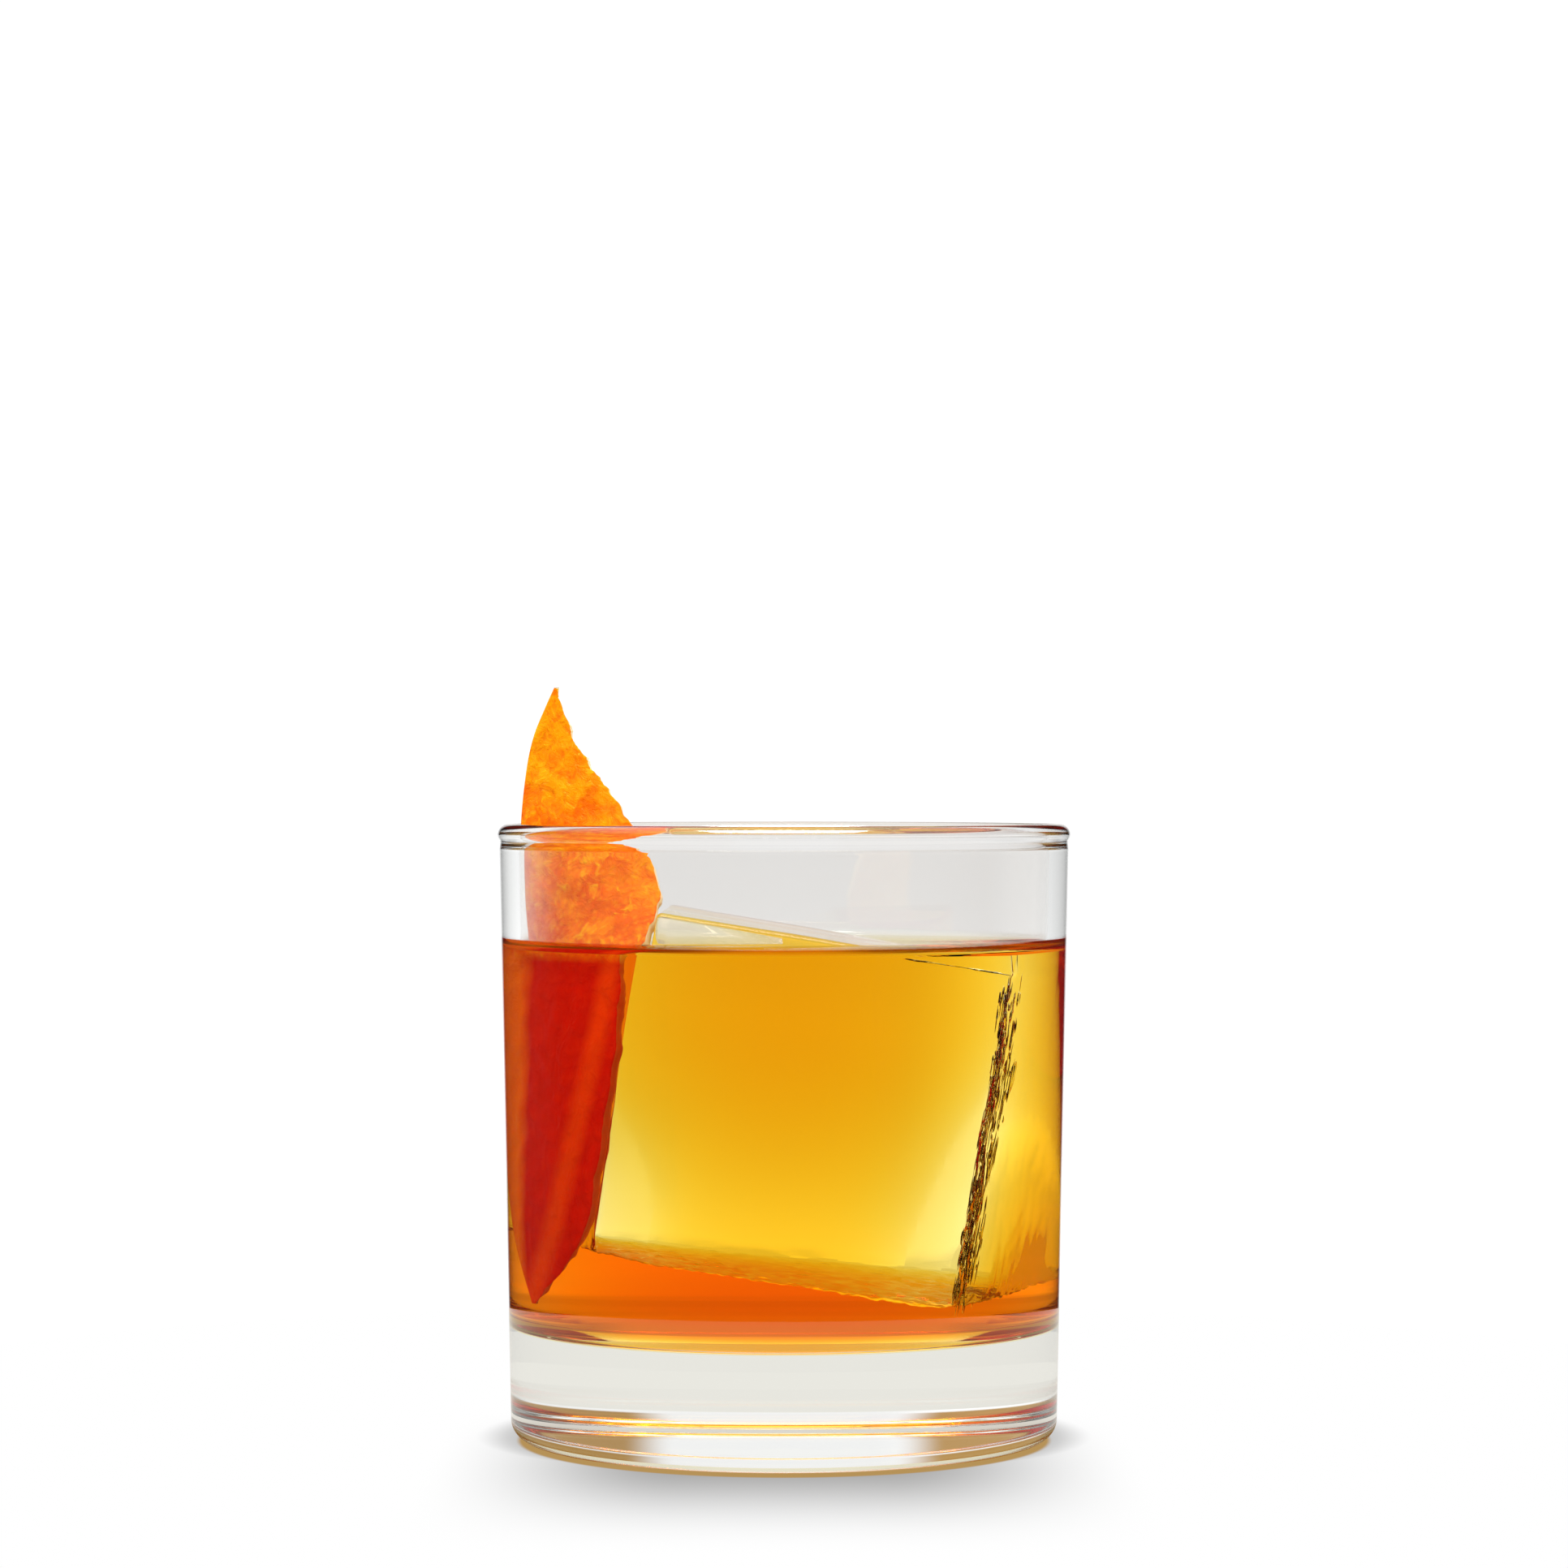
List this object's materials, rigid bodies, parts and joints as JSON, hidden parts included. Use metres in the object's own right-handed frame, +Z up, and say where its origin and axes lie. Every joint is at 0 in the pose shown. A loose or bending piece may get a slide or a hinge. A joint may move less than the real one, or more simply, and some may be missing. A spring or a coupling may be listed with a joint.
{
  "type": "bourbon old fashioned",
  "caption": "Heavy-based rocks glass of amber drink with one large clear ice cube and a long swath of orange peel standing beside it.",
  "frame": {"origin": "centre of the glass's foot, on the surface that it stands on", "axes": "+Z up along the glass's axis; -Y faces the viewer; -X is the side where the peel stands"},
  "size_m": [0.0858, 0.0858, 0.1124],
  "materials": {
    "glass": "clear, polished",
    "amber_drink": "clear liquid",
    "clear_ice": "wet clear ice, cloudy and pitted on one side",
    "orange_zest": "waxy dimpled skin"
  },
  "bodies": {
    "root": {"glass": "glass", "drink": "amber_drink", "ice_cube": "clear_ice", "orange_peel": "orange_zest"}
  },
  "joints": []
}
